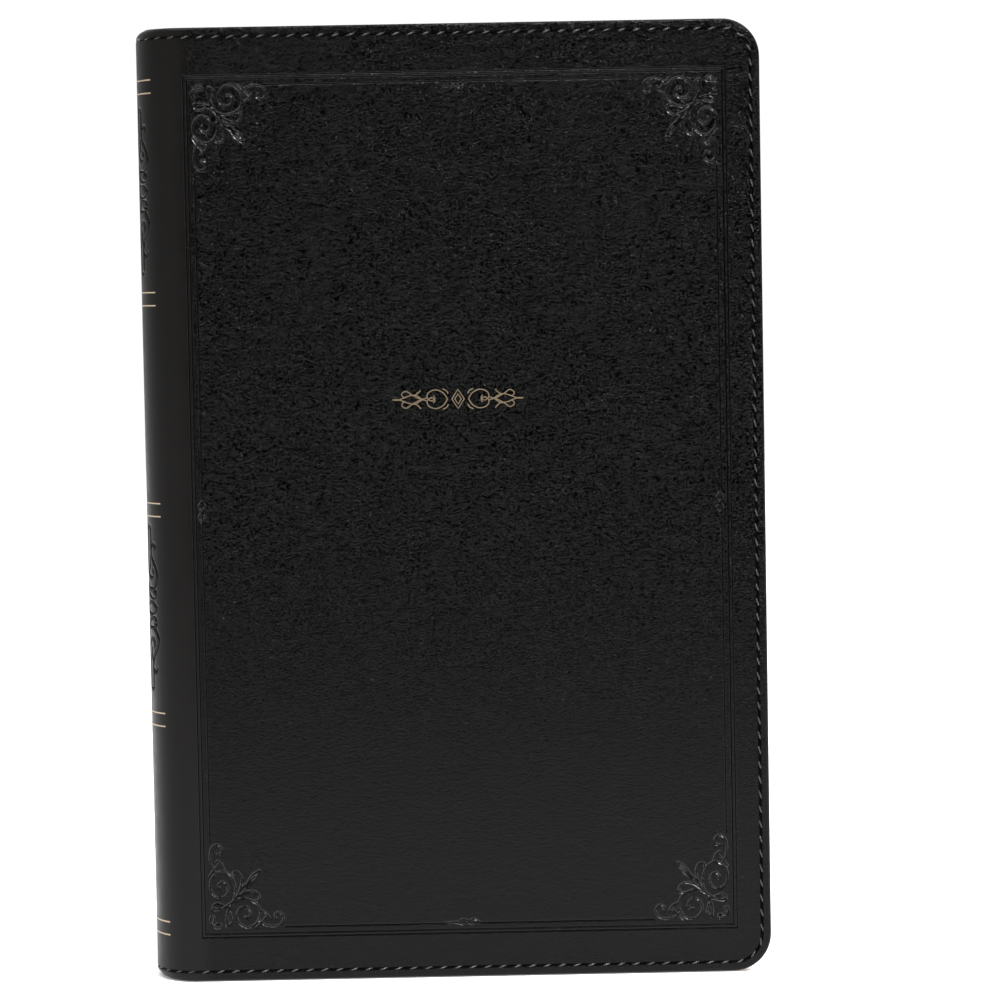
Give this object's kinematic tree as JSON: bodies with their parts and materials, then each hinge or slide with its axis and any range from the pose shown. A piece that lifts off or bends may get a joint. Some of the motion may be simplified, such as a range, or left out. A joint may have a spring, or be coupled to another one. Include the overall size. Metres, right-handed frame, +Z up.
{
  "type": "bible",
  "caption": "Flexible-cover bible with a round spine, stitched imitation-leather covers and a sewn text block; both covers and their leaves open on spine hinges.",
  "frame": {"origin": "middle of the footprint, on the surface the closed book stands on", "axes": "+Z up towards the head of the book, -Y out of the front cover, -X out of the round spine"},
  "size_m": [0.154, 0.027, 0.236],
  "materials": {
    "leather": "black grained imitation leather, soft satin",
    "thread": "black sewing thread",
    "board": "flexible grey-brown board",
    "lining": "smooth black lining",
    "card": "thin brown card",
    "mull_cloth": "open cotton weave, glued",
    "glued_paper": "folded paper edges under dry glue",
    "headband_cloth": "woven gold and black band",
    "bible_paper": "thin cream paper with gilt edges",
    "endpaper": "plain heavy endpaper"
  },
  "bodies": {
    "spine_block": {"spine_leather": "leather", "spine_head_stitching": "thread", "spine_tail_stitching": "thread", "spine_stiffener": "card", "hollow_tube": "card", "mull": "mull_cloth", "sewn_back": "glued_paper", "headband": "headband_cloth", "tailband": "headband_cloth", "middle_section_1": "bible_paper", "middle_section_2": "bible_paper", "middle_section_3": "bible_paper", "middle_section_4": "bible_paper"},
    "front_cover": {"front_leather": "leather", "front_stitching": "thread", "front_board": "board", "front_lining": "lining"},
    "front_flyleaf": {"front_flyleaf": "endpaper"},
    "front_section_1": {"front_section_1": "bible_paper"},
    "front_section_2": {"front_section_2": "bible_paper"},
    "front_section_3": {"front_section_3": "bible_paper"},
    "front_section_4": {"front_section_4": "bible_paper"},
    "front_section_5": {"front_section_5": "bible_paper"},
    "front_section_6": {"front_section_6": "bible_paper"},
    "front_section_7": {"front_section_7": "bible_paper"},
    "back_cover": {"back_leather": "leather", "back_stitching": "thread", "back_board": "board", "back_lining": "lining"},
    "back_flyleaf": {"back_flyleaf": "endpaper"},
    "back_section_1": {"back_section_1": "bible_paper"},
    "back_section_2": {"back_section_2": "bible_paper"},
    "back_section_3": {"back_section_3": "bible_paper"},
    "back_section_4": {"back_section_4": "bible_paper"},
    "back_section_5": {"back_section_5": "bible_paper"},
    "back_section_6": {"back_section_6": "bible_paper"},
    "back_section_7": {"back_section_7": "bible_paper"}
  },
  "joints": [
    {"name": "front_cover_hinge", "type": "hinge", "parent": "spine_block", "child": "front_cover", "pos_m": [-0.0658, -0.0135, 0.118], "axis": [0, 0, -1], "range_deg": [0, 176]},
    {"name": "front_flyleaf_turn", "type": "hinge", "parent": "spine_block", "child": "front_flyleaf", "pos_m": [-0.0658, -0.0135, 0.118], "axis": [0, 0, -1], "range_deg": [0, 175]},
    {"name": "front_section_1_turn", "type": "hinge", "parent": "spine_block", "child": "front_section_1", "pos_m": [-0.0658, -0.0135, 0.118], "axis": [0, 0, -1], "range_deg": [0, 171]},
    {"name": "front_section_2_turn", "type": "hinge", "parent": "spine_block", "child": "front_section_2", "pos_m": [-0.0658, -0.0135, 0.118], "axis": [0, 0, -1], "range_deg": [0, 164]},
    {"name": "front_section_3_turn", "type": "hinge", "parent": "spine_block", "child": "front_section_3", "pos_m": [-0.0658, -0.0135, 0.118], "axis": [0, 0, -1], "range_deg": [0, 153]},
    {"name": "front_section_4_turn", "type": "hinge", "parent": "spine_block", "child": "front_section_4", "pos_m": [-0.0658, -0.0135, 0.118], "axis": [0, 0, -1], "range_deg": [0, 133]},
    {"name": "front_section_5_turn", "type": "hinge", "parent": "spine_block", "child": "front_section_5", "pos_m": [-0.0658, -0.0135, 0.118], "axis": [0, 0, -1], "range_deg": [0, 105]},
    {"name": "front_section_6_turn", "type": "hinge", "parent": "spine_block", "child": "front_section_6", "pos_m": [-0.0658, -0.0135, 0.118], "axis": [0, 0, -1], "range_deg": [0, 70]},
    {"name": "front_section_7_turn", "type": "hinge", "parent": "spine_block", "child": "front_section_7", "pos_m": [-0.0658, -0.0135, 0.118], "axis": [0, 0, -1], "range_deg": [0, 35]},
    {"name": "back_cover_hinge", "type": "hinge", "parent": "spine_block", "child": "back_cover", "pos_m": [-0.0658, 0.0135, 0.118], "axis": [0, 0, 1], "range_deg": [0, 176]},
    {"name": "back_flyleaf_turn", "type": "hinge", "parent": "spine_block", "child": "back_flyleaf", "pos_m": [-0.0658, 0.0135, 0.118], "axis": [0, 0, 1], "range_deg": [0, 175]},
    {"name": "back_section_1_turn", "type": "hinge", "parent": "spine_block", "child": "back_section_1", "pos_m": [-0.0658, 0.0135, 0.118], "axis": [0, 0, 1], "range_deg": [0, 171]},
    {"name": "back_section_2_turn", "type": "hinge", "parent": "spine_block", "child": "back_section_2", "pos_m": [-0.0658, 0.0135, 0.118], "axis": [0, 0, 1], "range_deg": [0, 164]},
    {"name": "back_section_3_turn", "type": "hinge", "parent": "spine_block", "child": "back_section_3", "pos_m": [-0.0658, 0.0135, 0.118], "axis": [0, 0, 1], "range_deg": [0, 153]},
    {"name": "back_section_4_turn", "type": "hinge", "parent": "spine_block", "child": "back_section_4", "pos_m": [-0.0658, 0.0135, 0.118], "axis": [0, 0, 1], "range_deg": [0, 133]},
    {"name": "back_section_5_turn", "type": "hinge", "parent": "spine_block", "child": "back_section_5", "pos_m": [-0.0658, 0.0135, 0.118], "axis": [0, 0, 1], "range_deg": [0, 105]},
    {"name": "back_section_6_turn", "type": "hinge", "parent": "spine_block", "child": "back_section_6", "pos_m": [-0.0658, 0.0135, 0.118], "axis": [0, 0, 1], "range_deg": [0, 70]},
    {"name": "back_section_7_turn", "type": "hinge", "parent": "spine_block", "child": "back_section_7", "pos_m": [-0.0658, 0.0135, 0.118], "axis": [0, 0, 1], "range_deg": [0, 35]}
  ],
  "couplings": [
    {"joint": "front_flyleaf_turn", "follows": "front_cover_hinge", "ratio": 0.985},
    {"joint": "front_section_1_turn", "follows": "front_cover_hinge", "ratio": 0.965},
    {"joint": "front_section_2_turn", "follows": "front_cover_hinge", "ratio": 0.925},
    {"joint": "front_section_3_turn", "follows": "front_cover_hinge", "ratio": 0.86},
    {"joint": "front_section_4_turn", "follows": "front_cover_hinge", "ratio": 0.75},
    {"joint": "front_section_5_turn", "follows": "front_cover_hinge", "ratio": 0.59},
    {"joint": "front_section_6_turn", "follows": "front_cover_hinge", "ratio": 0.39},
    {"joint": "front_section_7_turn", "follows": "front_cover_hinge", "ratio": 0.19},
    {"joint": "back_flyleaf_turn", "follows": "back_cover_hinge", "ratio": 0.985},
    {"joint": "back_section_1_turn", "follows": "back_cover_hinge", "ratio": 0.965},
    {"joint": "back_section_2_turn", "follows": "back_cover_hinge", "ratio": 0.925},
    {"joint": "back_section_3_turn", "follows": "back_cover_hinge", "ratio": 0.86},
    {"joint": "back_section_4_turn", "follows": "back_cover_hinge", "ratio": 0.75},
    {"joint": "back_section_5_turn", "follows": "back_cover_hinge", "ratio": 0.59},
    {"joint": "back_section_6_turn", "follows": "back_cover_hinge", "ratio": 0.39},
    {"joint": "back_section_7_turn", "follows": "back_cover_hinge", "ratio": 0.19}
  ]
}
